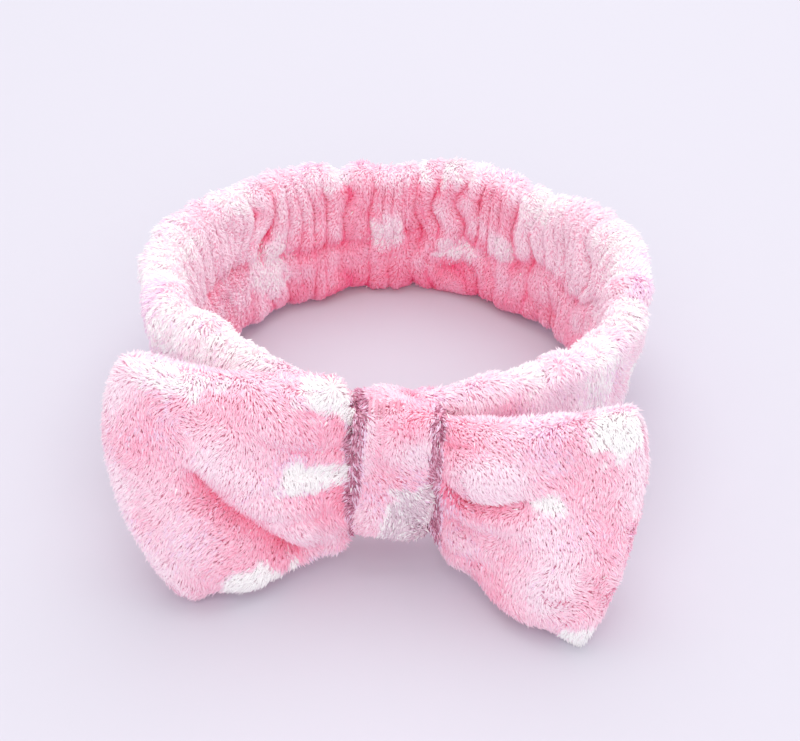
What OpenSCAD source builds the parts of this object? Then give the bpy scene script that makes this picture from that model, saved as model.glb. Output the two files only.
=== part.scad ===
// Spa headband: a soft fleece tube with an elastic inside, and a flat bow tied on by a fleece knot.
// The band lies tilted on its lower rear edge and on the lower corners of the bow.
// +X is to the right of someone facing the bow, the bow faces -Y, and +Z is up.

/* [Band] */
// Width across the ring
ring_w = 176; // [160:1:190]
// Depth of the ring from front to back
ring_d = 157; // [146:1:168]
// Height of the fleece tube
band_h = 53; // [46:1:60]
// Thickness of the whole tube, pile included
band_t = 14; // [10:1:18]
// How far the lower edge is drawn in at the two sides
side_lean = 10; // [0:1:14]
// Angle by which the front of the ring is raised
tilt = 5.5; // [3:0.5:7]
// How far the rear edge is squashed flat by the surface below
rest_squash = 0.5; // [0.3:0.1:1]
// Distance of the ring's centre behind the origin
ring_y = 15.5; // [10:0.1:20]

/* [Elastic] */
// Width of the elastic
elastic_w = 20; // [12:1:25]
// Thickness of the elastic
elastic_t = 1; // [0.6:0.1:1.2]
// Height of the elastic's lower edge above the band's lower edge
elastic_z = 24; // [8:1:26]
// Angle that the elastic reaches forward past the widest point of the ring
elastic_reach = 40; // [20:1:60]

/* [Bow] */
// Height of the bow where it is gathered
pinch_h = 47; // [44:1:49]
// Thickness of the bow where it is gathered
pinch_t = 6; // [5:0.5:7]
// Half thickness of a loop at its fullest
loop_full = 11.5; // [7:0.5:13]
// Half thickness of a loop where its two layers are sewn together
loop_rim = 1.6; // [1:0.1:2]

/* [Knot] */
// Width of the knot along the band
knot_w = 27.5; // [22:0.5:32]
// Thickness of the knot's fleece
knot_wall = 3; // [2.5:0.1:4]
// Radius of the knot's corners, seen along the band
knot_corner = 5.5; // [4:0.5:7]
// Angle by which the knot leans over to the right
knot_roll = 5; // [0:0.5:6]
// Share of the tube's padding that the knot presses out of it
squeeze = 0.45; // [0.3:0.05:0.6]

/* [Thread] */
// Radius of the sewing thread
thread_r = 0.4; // [0.3:0.05:0.45]
// Number of turns of gathering thread round the middle of the bow
gather_turns = 5; // [3:1:8]

/* [Hidden] */

smooth = 96;
fine = 32;
reach = 400;
gap = 0.3;

// Ring: an ellipse, with angles counted from its right-hand end towards the rear
half_w = (ring_w - band_t) / 2;
half_d = (ring_d - band_t) / 2;
edge_r = band_t / 2;
edge_step = 20;
squeeze_h = 0.1;
squeeze_angle = 18;
ring_step = 5;
part_angle = asin(gap / 2 / half_d);
lift = half_d * sin(tilt) - edge_r * cos(tilt) + edge_r - rest_squash;

// Tube: the outer face folds over the top, and a pocket for the elastic is left between the faces
pocket_t = elastic_t + 2 * gap;
fold_z = band_h - 5;
fold_angle = asin((fold_z - band_h + edge_r) / edge_r);
mouth_angle = acos(pocket_t / 2 / edge_r);
seam_z = 1.2;
end_seam_angle = 3.5;
end_seam_h = 36;

// Bow and knot, on the front of the ring
bow_z = band_h / 2;
knot_angle = asin(knot_w / 2 / half_w);
band_front_y = ring_place(270, [edge_r, bow_z]).y;
band_back_y = ring_place(270 + knot_angle, [-edge_r, bow_z]).y;
thread_room = 2 * thread_r + 0.1;
bow_y = band_front_y - thread_room - pinch_t / 2;
knot_front_y = bow_y - pinch_t / 2 - thread_room;
knot_gap_z = 2;
knot_half_h = band_h / 2 * (1 - squeeze_h) + knot_gap_z;
hinge_x = knot_w / 2 + pinch_t / 2 + 3.5;
gather_pitch = 2.2;
thread_gap = 0.05;
hinge_room = 1;

// Loop outlines, as distance out from the hinge and height above the band's lower edge:
// inner end low and high, low bend and corner, end bend, top corner and bend, low and top slope
left_loop = [[0, -7], [0, 58], [22, -12], [41, -17.5], [79, 32], [60, 70], [30, 61], 0.41, 0.07];
right_loop = [[0, -7], [0, 48], [22, -12], [43, -18.5], [73, 28], [60, 61.5], [30, 52], 0.72, 0.23];
loop_steps = 14;
seam_steps = 16;
seam_sides = 8;
loop_half_in = pinch_t / 2 - 0.2;

// Placing
module resting() translate([0, ring_y, lift]) rotate([-tilt, 0, 0]) children();

module above_floor() difference() {
    children();
    translate([-reach / 2, -reach / 2, -reach / 2]) cube([reach, reach, reach / 2]);
}

function unit(v) = v / norm(v);
function quad_faces(a, b, c, d) = [[a, b, c], [a, c, d]];

// Place on the ring: p is the distance outward from the centre line and the height.
// The tube leans outward at the sides, and is thin and low where the knot squeezes it.
function ring_out(angle) = unit([cos(angle) / half_w, sin(angle) / half_d]);
function knot_hug(angle) = exp(-pow((angle - 270) / squeeze_angle, 2));
function squeezed(x, hug) =
    abs(x) < pocket_t ? x : sign(x) * (pocket_t / 2 + (abs(x) - pocket_t / 2) * (1 - squeeze * hug));
function ring_place(angle, p) =
    let (
        out = ring_out(angle),
        hug = knot_hug(angle),
        lean = side_lean * pow(cos(angle), 2) * (1 - p.y / band_h),
        x = squeezed(p.x, hug) - lean
    ) [
        half_w * cos(angle) + x * out.x,
        half_d * sin(angle) + x * out.y,
        band_h / 2 + (p.y - band_h / 2) * (1 - squeeze_h * hug)
    ];

// Sweeps a section, listed anticlockwise, round the ring from one angle to another
module ring_sweep(from, to, section) {
    n = len(section);
    steps = ceil((to - from) / ring_step);
    points = [
        for (i = [0 : steps], p = section) ring_place(from + (to - from) * i / steps, p)
    ];
    walls = [
        for (i = [0 : steps - 1], j = [0 : n - 1])
            let (a = i * n + j, b = i * n + (j + 1) % n)
                each quad_faces(a, b, b + n, a + n)
    ];
    start = [for (j = [n - 1 : -1 : 0]) j];
    end = [for (j = [0 : n - 1]) steps * n + j];
    polyhedron(points, concat(walls, [start, end]), convexity = 8);
}

module front_half(section) ring_sweep(180 + part_angle, 360 - part_angle, section);
module rear_half(section) ring_sweep(part_angle, 180 - part_angle, section);

// Sections of the tube
function round_edge(z, from, to) =
    let (steps = ceil((to - from) / edge_step))
        [for (k = [0 : steps]) let (w = from + (to - from) * k / steps) [edge_r * cos(w), z + edge_r * sin(w)]];
outer_section = concat(
    round_edge(edge_r, -mouth_angle, 0),
    round_edge(band_h - edge_r, 0, 180 - fold_angle),
    [[pocket_t / 2, fold_z]]
);
lining_section = concat(
    [[-pocket_t / 2, fold_z]],
    round_edge(band_h - edge_r, 180 - fold_angle, 180),
    round_edge(edge_r, 180, 180 + mouth_angle)
);
function strip(t, low, high) = [[-t / 2, low], [t / 2, low], [t / 2, high], [-t / 2, high]];
seam_section = strip(2 * thread_r, seam_z - thread_r, seam_z + thread_r);
elastic_section = strip(elastic_t, elastic_z, elastic_z + elastic_w);
end_seam_section = strip(elastic_t, bow_z - end_seam_h / 2, bow_z + end_seam_h / 2);

// Band
module band_front_outer() color("lightpink") above_floor() resting() front_half(outer_section);

module band_front_lining() color("hotpink") above_floor() resting() front_half(lining_section);

module band_front_seam() color("pink") above_floor() resting() front_half(seam_section);

module band_rear_outer() color("lightpink") above_floor() resting() rear_half(outer_section);

module band_rear_lining() color("hotpink") above_floor() resting() rear_half(lining_section);

module band_rear_seam() color("pink") above_floor() resting() rear_half(seam_section);

// The tube's two ends are sewn together behind the bow, with their raw edges inside the pocket
module band_end_seam() color("pink") resting()
    ring_sweep(270 - end_seam_angle, 270 + end_seam_angle, end_seam_section);

module elastic_band() color("white") resting()
    ring_sweep(-elastic_reach, 180 + elastic_reach, elastic_section);

// A row of short stitches across the pocket at each end of the elastic
module elastic_end_stitches() color("white") resting() {
    angle = -elastic_reach - (thread_r + gap) / half_d * 180 / PI;
    out = ring_out(angle);
    pitch = 2.4;
    for (side = [0, 1], z = [elastic_z + pitch / 2 : pitch : elastic_z + elastic_w])
        mirror([side, 0, 0]) translate(ring_place(angle, [0, z])) rotate([0, 90, atan2(out.y, out.x)])
            cylinder(r = thread_r, h = pocket_t - gap, center = true, $fn = fine);
}

// Bow
// The gathered middle of the bow; its ends are hollowed so that the loops can swing
module bow_centre() color("pink") resting() difference() {
    translate([-hinge_x, bow_y, bow_z]) rotate([0, 90, 0])
        linear_extrude(2 * hinge_x) pinch_outline(0);
    for (x = [-hinge_x, hinge_x])
        translate([x, bow_y, -reach / 2]) cylinder(r = loop_half_in + hinge_room, h = reach, $fn = smooth);
}

module pinch_outline(grow) {
    flat_h = pinch_h - pinch_t;
    translate([-flat_h / 2, -pinch_t / 2 - grow]) square([flat_h, pinch_t + 2 * grow]);
    for (z = [-flat_h / 2, flat_h / 2]) translate([z, 0]) circle(r = pinch_t / 2 + grow, $fn = smooth);
}

module gather_thread() color("lightpink") resting()
    for (i = [0 : gather_turns - 1])
        translate([(i - (gather_turns - 1) / 2) * gather_pitch - thread_r, bow_y, bow_z])
            rotate([0, 90, 0]) linear_extrude(2 * thread_r) difference() {
                pinch_outline(2 * thread_r);
                pinch_outline(thread_gap);
            }

// Knot: a strip of fleece that goes round the bow and the band, and is closed inside the ring
module knot_outline(grow) {
    low_y = knot_front_y - grow;
    high_y = band_back_y + 2 * gap + grow;
    half_h = knot_half_h + grow;
    r = knot_corner + grow - knot_wall;
    for (z = [-half_h + r, half_h - r], y = [low_y + r, high_y - r])
        translate([z, y]) circle(r = r, $fn = smooth);
    translate([-half_h + r, low_y]) square([2 * half_h - 2 * r, high_y - low_y]);
    translate([-half_h, low_y + r]) square([2 * half_h, high_y - low_y - 2 * r]);
}

module at_knot() resting() translate([0, 0, bow_z]) rotate([0, knot_roll, 0]) children();

module knot_wrap() color("lightpink") at_knot()
    translate([-knot_w / 2, 0, 0]) rotate([0, 90, 0]) linear_extrude(knot_w) difference() {
        knot_outline(knot_wall);
        knot_outline(0);
    }

// Slanting hand stitches that close the knot on its inner side
module knot_seam() color("pink") at_knot() {
    stitches = 8;
    pitch = 4.5;
    stitch_l = 5;
    y = band_back_y + 2 * gap + knot_wall + thread_r + thread_gap;
    for (i = [0 : stitches - 1])
        translate([0, y, (i - (stitches - 1) / 2) * pitch]) rotate([0, 75, 0])
            cylinder(r = thread_r, h = stitch_l, center = true, $fn = fine);
}

// Loops
function bend(a, b, c, t) = (1 - t) * (1 - t) * a + 2 * t * (1 - t) * b + t * t * c;
function loop_low(l, u) = bend(l[0], l[2], l[3], u);
function loop_high(l, u) = bend(l[1], l[6], l[5], u);
function loop_end(l, v) = bend(l[3], l[4], l[5], v);
// Distance out and height at a place in the loop: u runs outward and v upward
function loop_place(l, u, v) = (1 - v) * loop_low(l, u) + v * loop_high(l, u)
    + u * (loop_end(l, v) - (1 - v) * l[3] - v * l[5]);
function slope(l, v) = l[8] + (l[7] - l[8]) * (1 - v) * (1 - v);
function middle(l, u, v) = let (p = loop_place(l, u, v)) [p.x, -p.x * slope(l, v), p.y];
// Half thickness: pinched at the hinge, full in the middle and thin along the sewn edges
function swell(u) = loop_half_in + (loop_full - loop_half_in) * pow(sin(90 * u), 1.4);
function fullness(u, v) =
    loop_rim + (swell(u) - loop_rim) * sqrt(max(0, 4 * v * (1 - v))) * sqrt(max(0, 1 - pow(u, 6)));

function loop_grid(l, side) = [
    for (i = [0 : loop_steps], j = [0 : loop_steps])
        let (u = i / loop_steps, v = j / loop_steps)
            middle(l, u, v) + [0, side * fullness(u, v), 0]
];

function at(i, j) = i * (loop_steps + 1) + j;

// One layer of a loop: the solid between the middle surface and the face on one side
module layer(l, side) {
    n = pow(loop_steps + 1, 2);
    near = [
        for (i = [0 : loop_steps - 1], j = [0 : loop_steps - 1])
            each quad_faces(at(i, j), at(i, j + 1), at(i + 1, j + 1), at(i + 1, j))
    ];
    far = [for (f = near) [f[2] + n, f[1] + n, f[0] + n]];
    rim_u = [
        for (i = [0 : loop_steps - 1], j = [0, loop_steps])
            let (a = at(i, j), b = at(i + 1, j), q = quad_faces(a, b, b + n, a + n))
                each (j == 0 ? q : [for (f = q) [f[2], f[1], f[0]]])
    ];
    rim_v = [
        for (j = [0 : loop_steps - 1], i = [0, loop_steps])
            let (a = at(i, j), b = at(i, j + 1), q = quad_faces(a, a + n, b + n, b))
                each (i == 0 ? q : [for (f = q) [f[2], f[1], f[0]]])
    ];
    faces = concat(near, far, rim_u, rim_v);
    turned = [for (f = faces) [f[2], f[1], f[0]]];
    points = concat(loop_grid(l, 0), loop_grid(l, side));
    polyhedron(points, side > 0 ? turned : faces, convexity = 6);
}

// The sewn edge: a thread along the bottom, the end and the top of the loop
function edge_point(s) =
    s < 1 ? [s, 0] : s < 2 ? [1, s - 1] : [3 - s, 1];
module edge_thread(l) {
    inset = 0.04;
    off = thread_r + gap;
    last = 3 * seam_steps;
    stations = [for (k = [0 : last]) min(max(k / seam_steps, inset), 3 - inset)];
    centre = [for (s = stations) let (e = edge_point(s)) middle(l, e.x, e.y)];
    along = [
        for (k = [0 : last]) unit(centre[min(k + 1, last)] - centre[max(k - 1, 0)])
    ];
    points = [
        for (k = [0 : last])
            let (out = unit(cross([0, 1, 0], along[k])), up = cross(out, along[k]))
                for (m = [0 : seam_sides - 1])
                    let (w = 360 * m / seam_sides)
                        centre[k] + out * (off + thread_r * cos(w)) + up * thread_r * sin(w)
    ];
    walls = [
        for (k = [0 : last - 1], m = [0 : seam_sides - 1])
            let (a = k * seam_sides + m, b = k * seam_sides + (m + 1) % seam_sides)
                each quad_faces(a, b, b + seam_sides, a + seam_sides)
    ];
    start = [for (m = [seam_sides - 1 : -1 : 0]) m];
    end = [for (m = [0 : seam_sides - 1]) last * seam_sides + m];
    polyhedron(points, concat(walls, [start, end]), convexity = 6);
}

module at_hinge(side) above_floor() resting() translate([side * hinge_x, bow_y, 0])
    mirror([side < 0 ? 1 : 0, 0, 0]) children();

module left_loop_front() color("lightpink") at_hinge(-1) layer(left_loop, -1);

module left_loop_back() color("hotpink") at_hinge(-1) layer(left_loop, 1);

module left_loop_seam() color("white") at_hinge(-1) edge_thread(left_loop);

module right_loop_front() color("lightpink") at_hinge(1) layer(right_loop, -1);

module right_loop_back() color("hotpink") at_hinge(1) layer(right_loop, 1);

module right_loop_seam() color("white") at_hinge(1) edge_thread(right_loop);

band_front_outer();
band_front_lining();
band_front_seam();
band_end_seam();
band_rear_outer();
band_rear_lining();
band_rear_seam();
elastic_band();
elastic_end_stitches();
bow_centre();
gather_thread();
knot_wrap();
knot_seam();
left_loop_front();
left_loop_back();
left_loop_seam();
right_loop_front();
right_loop_back();
right_loop_seam();
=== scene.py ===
# Spa headband: a gathered fleece tube with an elastic inside, and a bow held by a fleece knot.
# Lengths are in metres. Angles round the ring are counted from its right-hand end towards the rear.
import math
from collections import namedtuple

import bmesh
import bpy
import numpy as np
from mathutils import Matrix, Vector


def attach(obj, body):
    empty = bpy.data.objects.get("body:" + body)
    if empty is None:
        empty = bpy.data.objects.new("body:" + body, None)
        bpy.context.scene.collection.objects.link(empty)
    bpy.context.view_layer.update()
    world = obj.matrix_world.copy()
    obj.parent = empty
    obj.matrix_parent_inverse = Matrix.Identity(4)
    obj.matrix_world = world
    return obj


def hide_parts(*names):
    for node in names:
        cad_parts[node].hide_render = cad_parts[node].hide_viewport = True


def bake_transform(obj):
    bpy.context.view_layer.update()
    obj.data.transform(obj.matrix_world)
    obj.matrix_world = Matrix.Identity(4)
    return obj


MM = 0.001

# The band, as in the CAD
BAND_H = 53 * MM
BAND_T = 14 * MM
HALF_W = 81 * MM
HALF_D = 71.5 * MM
SIDE_LEAN = 10 * MM
TILT = math.radians(5.5)
RING_Y = 15.5 * MM
LIFT = 6.3852 * MM
KNOT_SQUEEZE = 0.45
KNOT_SQUEEZE_H = 0.1
KNOT_SQUEEZE_ANGLE = 18.0
# Angles round the ring: the front, where the knot is, and the middle of each pale end
FRONT = 270.0
LEFT_END = 180
RIGHT_END = 350
# Pleats round the ring, were they even all the way
NARROW_PLEATS = 76
WIDE_PLEATS = 34
OUTER_PLEATS = 46
RIM_PLEATS = 27
# Where the soft ring gives way: (angle, half width) in degrees, then how far, down or outward
SAG_RIGHT = (338, 24, 6.5 * MM)
SAG_FRONT = (FRONT, 14, 5.0 * MM)
BULGE_LEFT = (195, 30, 2.5 * MM)
# The same for the inner face's thick place, but in mm
THICK_LEFT = (218, 20, 4.5)
# Painted light on the inner face near its ends, high on the walls: (angle, half width), then by how much
PAINTED_LIGHT_RIGHT = (26, 26, 0.40)
PAINTED_LIGHT_LEFT = (160, 20, 0.16)

# The elastic
ELASTIC_W = 20 * MM
ELASTIC_T = 1 * MM
ELASTIC_Z = 24 * MM
ELASTIC_REACH = 40.0

# The part of the front that the knot covers, in degrees each way
BARE_ANGLE = 7.5

# The bow, as in the CAD
HINGE_X = 20.25 * MM
BOW_Y = -79.61 * MM
BOW_Z = BAND_H / 2
PINCH_H = 47 * MM
# Half the loops' thickness: beside the knot, at the fullest place and along the rim
LOOP_HALF_IN = 2.8 * MM
LOOP_FULL = 11.5 * MM
LOOP_RIM = 1.6 * MM
# The width and height that the loops' dots are placed by
LOOP_W = 62 * MM
LOOP_H = 70 * MM
# The part of a loop that is drawn into the knot, as a length and as the share that stands for it
LOOP_ROOT = 13 * MM
ROOT_SHARE = 0.2
# The cloth simulation of the loops
PUFF_FRAMES = 20
PUFF_PRESSURE = 4
PUFF_MOST = 1.8 * MM
# Cloth nearer the knot's side than this is held
PUFF_HELD = 1 * MM

# The knot: the strip's width and wall, how far it is rolled over, the box that it goes round, and how far
# it sits to the right
KNOT_W = 27.5 * MM
KNOT_WALL = 3 * MM
KNOT_ROLL = math.radians(5)
KNOT_HALF_H = 25.85 * MM
KNOT_FRONT_Y = -83.51 * MM
KNOT_BACK_Y = -64.5 * MM
KNOT_ASIDE = 3 * MM

# A loop's outline, as points out from the hinge and up, in mm. The bends draw the low, outer and top edges
# into curves. The slopes are how far forward the loop comes per unit outward, low and at the top.
Outline = namedtuple(
    "Outline", "low_in top_in low_bend low_out end_bend top_out top_bend low_slope top_slope"
)
LEFT_LOOP = Outline((0, -7), (0, 58), (22, -12), (41, -17.5), (79, 32), (60, 70), (30, 61), 0.41, 0.07)
RIGHT_LOOP = Outline((0, -7), (0, 43), (22, -12), (43, -18.5), (67, 29), (56.5, 62.5), (30, 48), 0.72, 0.23)

# The fleece: the cloth, the tufts' length and half width, how far the cloth lies inside the CAD's faces,
# and how untidy the tufts are
CLOTH_T = 1.2 * MM
PILE_L = 3.0 * MM
PILE_R = 0.36 * MM
SKIN_IN = 1.8 * MM
PILE_LOOSE = 0.16
TUFTS_PER_MM2 = 4.6
GRID = 1.1 * MM


# ---------------------------------------------------------------- numbers and fields
def unit(v):
    return v / np.maximum(np.linalg.norm(v, axis=-1, keepdims=True), 1e-12)


def smooth(x, low, high):
    t = np.clip((x - low) / (high - low), 0, 1)
    return t * t * (3 - 2 * t)


def bump(x, centre, width):
    return np.exp(-(((x - centre) / width) ** 2))


def turn_gap(angle, centre):
    """Signed angle from centre, in degrees, from -180 to 180."""
    return (angle - centre + 180) % 360 - 180


def swell_at(angle, place):
    """A smooth swelling round the ring. Place is (angle, half width, height)."""
    centre, width, height = place
    return height * bump(turn_gap(angle, centre), 0, width)


def puff(phase):
    """Rounded ridges with sharp valleys between them, from -1 to 1, one for each unit of phase."""
    return 2 * np.sqrt(np.abs(np.sin(math.pi * phase)) + 1e-6) - 1.3


def waves(points, size, seed, count=14):
    """Smooth noise about -1 to 1 whose lumps are about size across. Points has any number of columns."""
    rng = np.random.default_rng(seed)
    directions = unit(rng.normal(size=(count, points.shape[-1])))
    pitch = 2 * math.pi / (2 * size) * rng.uniform(0.55, 1.35, count)
    shift = rng.uniform(0, 2 * math.pi, count)
    total = np.zeros(points.shape[:-1])
    for d, p, s in zip(directions, pitch, shift):
        total += np.sin(points @ d * p + s)
    return total / math.sqrt(count) * 1.2


def round_noise(angle, lobes, seed, count=6):
    """Noise about -1 to 1 that closes on itself round the ring."""
    rng = np.random.default_rng(seed)
    total = np.zeros_like(angle)
    for k in rng.integers(max(1, lobes // 2), int(lobes * 1.6) + 2, count):
        total += np.sin(np.radians(angle) * k + rng.uniform(0, 2 * math.pi))
    return total / math.sqrt(count) * 1.2


def srgb(r, g, b):
    def channel(c):
        c = c / 255
        return c / 12.92 if c <= 0.04045 else ((c + 0.055) / 1.055) ** 2.4

    return (channel(r), channel(g), channel(b), 1.0)


# ---------------------------------------------------------------- placing
def resting(p):
    """From the upright ring to the row frame, where the ring leans back on its lower rear edge."""
    x, y, z = p[..., 0], p[..., 1], p[..., 2]
    c, s = math.cos(TILT), math.sin(TILT)
    return np.stack([x, RING_Y + y * c + z * s, LIFT - y * s + z * c], axis=-1)


def above_floor(p, clear=0.2 * MM):
    """Presses whatever would be below the floor flat on it."""
    q = p.copy()
    low = q[..., 2] < clear
    q[..., 2] = np.where(low, clear + 0.02 * (q[..., 2] - clear), q[..., 2])
    q[..., 2] = np.maximum(q[..., 2], 0.02 * MM)
    return q


def ring_place(angle, x, z):
    """The place at a distance x outward from the ring's centre line and at height z."""
    a = np.radians(angle)
    c, s = np.cos(a), np.sin(a)
    out = unit(np.stack([c / HALF_W, s / HALF_D], axis=-1))
    hug = bump(turn_gap(angle, FRONT), 0, KNOT_SQUEEZE_ANGLE)
    px = x * (1 - KNOT_SQUEEZE * hug) - SIDE_LEAN * c**2 * (1 - z / BAND_H)
    pz = BAND_H / 2 + (z - BAND_H / 2) * (1 - KNOT_SQUEEZE_H * hug)
    return np.stack([HALF_W * c + px * out[..., 0], HALF_D * s + px * out[..., 1], pz], axis=-1)


# ---------------------------------------------------------------- meshes
def new_mesh(name, points, triangles=None, quads=None):
    """Triangles make facets, which suit the pile, and quads make a smooth surface."""
    mesh = bpy.data.meshes.new(name)
    faces = triangles if triangles is not None else quads
    sides = faces.shape[1]
    mesh.vertices.add(len(points))
    mesh.vertices.foreach_set("co", np.ascontiguousarray(points, np.float32).ravel())
    mesh.loops.add(faces.size)
    mesh.loops.foreach_set("vertex_index", faces.astype(np.int32).ravel())
    mesh.polygons.add(len(faces))
    mesh.polygons.foreach_set("loop_start", np.arange(0, faces.size, sides, dtype=np.int32))
    mesh.polygons.foreach_set("use_smooth", np.full(len(faces), triangles is None))
    mesh.update(calc_edges=True)
    mesh.validate()
    obj = bpy.data.objects.new(name, mesh)
    bpy.context.scene.collection.objects.link(obj)
    return obj


def point_value(obj, name, values):
    attribute = obj.data.attributes.new(name, "FLOAT", "POINT")
    attribute.data.foreach_set("value", np.ascontiguousarray(values, np.float32).ravel())


def grid_faces(rows, columns, wrap_rows, wrap_columns):
    """Quads of a grid of points, whose rows and columns may close on themselves."""
    i, j = np.meshgrid(
        np.arange(rows if wrap_rows else rows - 1),
        np.arange(columns if wrap_columns else columns - 1),
        indexing="ij",
    )
    i, j = i.ravel(), j.ravel()
    i2, j2 = (i + 1) % rows, (j + 1) % columns
    return np.stack([i * columns + j, i2 * columns + j, i2 * columns + j2, i * columns + j2], axis=1)


def vertex_normals(points, quads):
    a, b, c, d = (points[quads[:, k]] for k in range(4))
    face = np.cross(c - a, d - b)
    normals = np.zeros_like(points)
    for k in range(4):
        np.add.at(normals, quads[:, k], face)
    return unit(normals)


def volume(points, quads):
    """Six times the volume inside a closed surface, and negative if its faces look inward."""
    p = points - points.mean(axis=0)
    a, b, c, d = (p[quads[:, k]] for k in range(4))
    return np.sum(a * np.cross(b, c)) + np.sum(a * np.cross(c, d))


class Skin:
    """A grid of cloth: its points, faces, normals, and the fields that colour and comb its pile."""

    def __init__(self, points, quads, fields):
        self.points = points.reshape(-1, 3)
        self.quads = quads if volume(self.points, quads) > 0 else quads[:, ::-1]
        self.normals = vertex_normals(self.points, self.quads)
        self.fields = {k: v.reshape(len(self.points), -1) for k, v in fields.items()}

    def area(self):
        p, q = self.points, self.quads
        return 0.5 * np.linalg.norm(np.cross(p[q[:, 2]] - p[q[:, 0]], p[q[:, 3]] - p[q[:, 1]]), axis=1)


def cloth_object(name, skin, inside=True):
    """The skin as an object. With inside, the cloth's inner face is added one thickness below."""
    points, quads = skin.points, skin.quads
    if inside:
        inner = points - skin.normals * CLOTH_T
        quads = np.concatenate([quads, quads[:, ::-1] + len(points)])
        points = np.concatenate([points, inner])
    obj = new_mesh(name, points, quads=quads)
    for field in ("tone", "white"):
        values = skin.fields[field]
        point_value(obj, field, np.concatenate([values, values]) if inside else values)
    return obj


# ---------------------------------------------------------------- pile
def scatter(skin, density, rng, keep):
    """Places spread evenly over the skin by area, with the fields at each of them."""
    share = skin.area() * keep[skin.quads].mean(axis=1)
    total = share.sum()
    count = int(total / MM**2 * density)
    marks = (np.arange(count) + rng.uniform(0, 1, count)) / count * total
    face = np.minimum(np.searchsorted(np.cumsum(share), marks), len(share) - 1)
    s, t = rng.uniform(0, 1, (2, count))
    weights = np.stack([(1 - s) * (1 - t), s * (1 - t), s * t, (1 - s) * t], axis=1)
    corners = skin.quads[face]

    def mix(values):
        return np.einsum("nk,nkc->nc", weights, values[corners])

    fields = {k: mix(v) for k, v in skin.fields.items()}
    return mix(skin.points), unit(mix(skin.normals)), fields


PALETTE = (
    ("pile_white", (254, 253, 253)),
    ("pile_cream", (254, 247, 249)),
    ("pile_lilac", (250, 228, 246)),
    ("pile_orchid", (248, 210, 236)),
    # The next three are painted shade: mauve and plum beside the knot, grey for white in shade
    ("pile_shade_mauve", (232, 176, 200)),
    ("pile_shade_plum", (196, 124, 152)),
    ("pile_shaded_white", (236, 218, 228)),
    ("pile_shell", (254, 238, 246)),
    ("pile_blush", (254, 227, 239)),
    ("pile_petal", (254, 215, 231)),
    ("pile_pink", (254, 203, 223)),
    ("pile_candy", (254, 190, 213)),
    ("pile_rose", (253, 175, 202)),
    ("pile_deep", (253, 158, 190)),
    ("pile_crimson", (252, 138, 175)),
    ("pile_wine", (247, 108, 154)),
)
WHITE, CREAM, LILAC, ORCHID, SHADE_MAUVE, SHADE_PLUM, SHADED_WHITE, SHELL = range(8)
PINKS = len(PALETTE) - SHELL - 1
# A lilac field this high stands for painted shade beside the knot and along the knot strip's edges
SHADED = 3


def pile_materials():
    """One plain colour for each palette entry: a tuft's faces choose among them."""
    made = []
    for name, colour in PALETTE:
        material = bpy.data.materials.new(name)
        material.use_nodes = True
        shader = material.node_tree.nodes["Principled BSDF"]
        shader.inputs["Base Color"].default_value = srgb(*colour)
        shader.inputs["Roughness"].default_value = 0.95
        shader.inputs["Specular IOR Level"].default_value = 0.12
        shader.inputs["Sheen Weight"].default_value = 0.05
        made.append(material)
    return made


def pick_colours(tone, white, lilac, rng):
    """Palette slots for the root and the tip of each tuft. Tone runs from 0, pale, to 1, deep."""
    n = len(tone)
    level = (tone - 0.28 * smooth(white, 0.05, 0.6)) * (PINKS - 1) + rng.normal(0, 0.28, n)
    tip = SHELL + np.clip(level, 0, PINKS).astype(int)
    root = SHELL + np.clip(level + 0.1, 0, PINKS).astype(int)
    tinted = lilac + rng.normal(0, 0.25, n) > 0.75
    tip = np.where(tinted, LILAC, tip)
    root = np.where(tinted, ORCHID, root)
    # Painted shade beside the knot: mauve and plum tufts
    shaded = (lilac > SHADED - 1) & (rng.uniform(size=n) < 0.8)
    tip = np.where(shaded, np.where(rng.uniform(size=n) < 0.55, SHADE_MAUVE, SHADE_PLUM), tip)
    root = np.where(shaded, SHADE_PLUM, root)
    snow = white + rng.normal(0, 0.2, n) > 0.55
    tip = np.where(snow, WHITE, tip)
    root = np.where(snow, np.where(rng.uniform(size=n) < 0.5, WHITE, CREAM), root)
    # Painted shade on the knot's front, where white is over 1: grey tufts
    grey = snow & (white > 1) & (rng.uniform(size=n) < 0.75)
    tip, root = np.where(grey, SHADED_WHITE, tip), np.where(grey, SHADED_WHITE, root)
    return root, tip


def comb(points, normals, seed):
    """The way the pile lies: down and outward, wandering from place to place."""
    wander = np.stack([waves(points, 20 * MM, seed + k) for k in range(3)], axis=-1)
    fine = np.stack([waves(points, 5 * MM, seed + 5 + k) for k in range(3)], axis=-1)
    sideways = np.clip(points[:, :1] / (40 * MM), -1, 1) * np.array([0.8, 0, 0])
    field = 0.8 * wander + 0.45 * fine + sideways + np.array([0, -0.5, -1.2])
    return unit(field - normals * np.sum(field * normals, axis=-1, keepdims=True))


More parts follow.
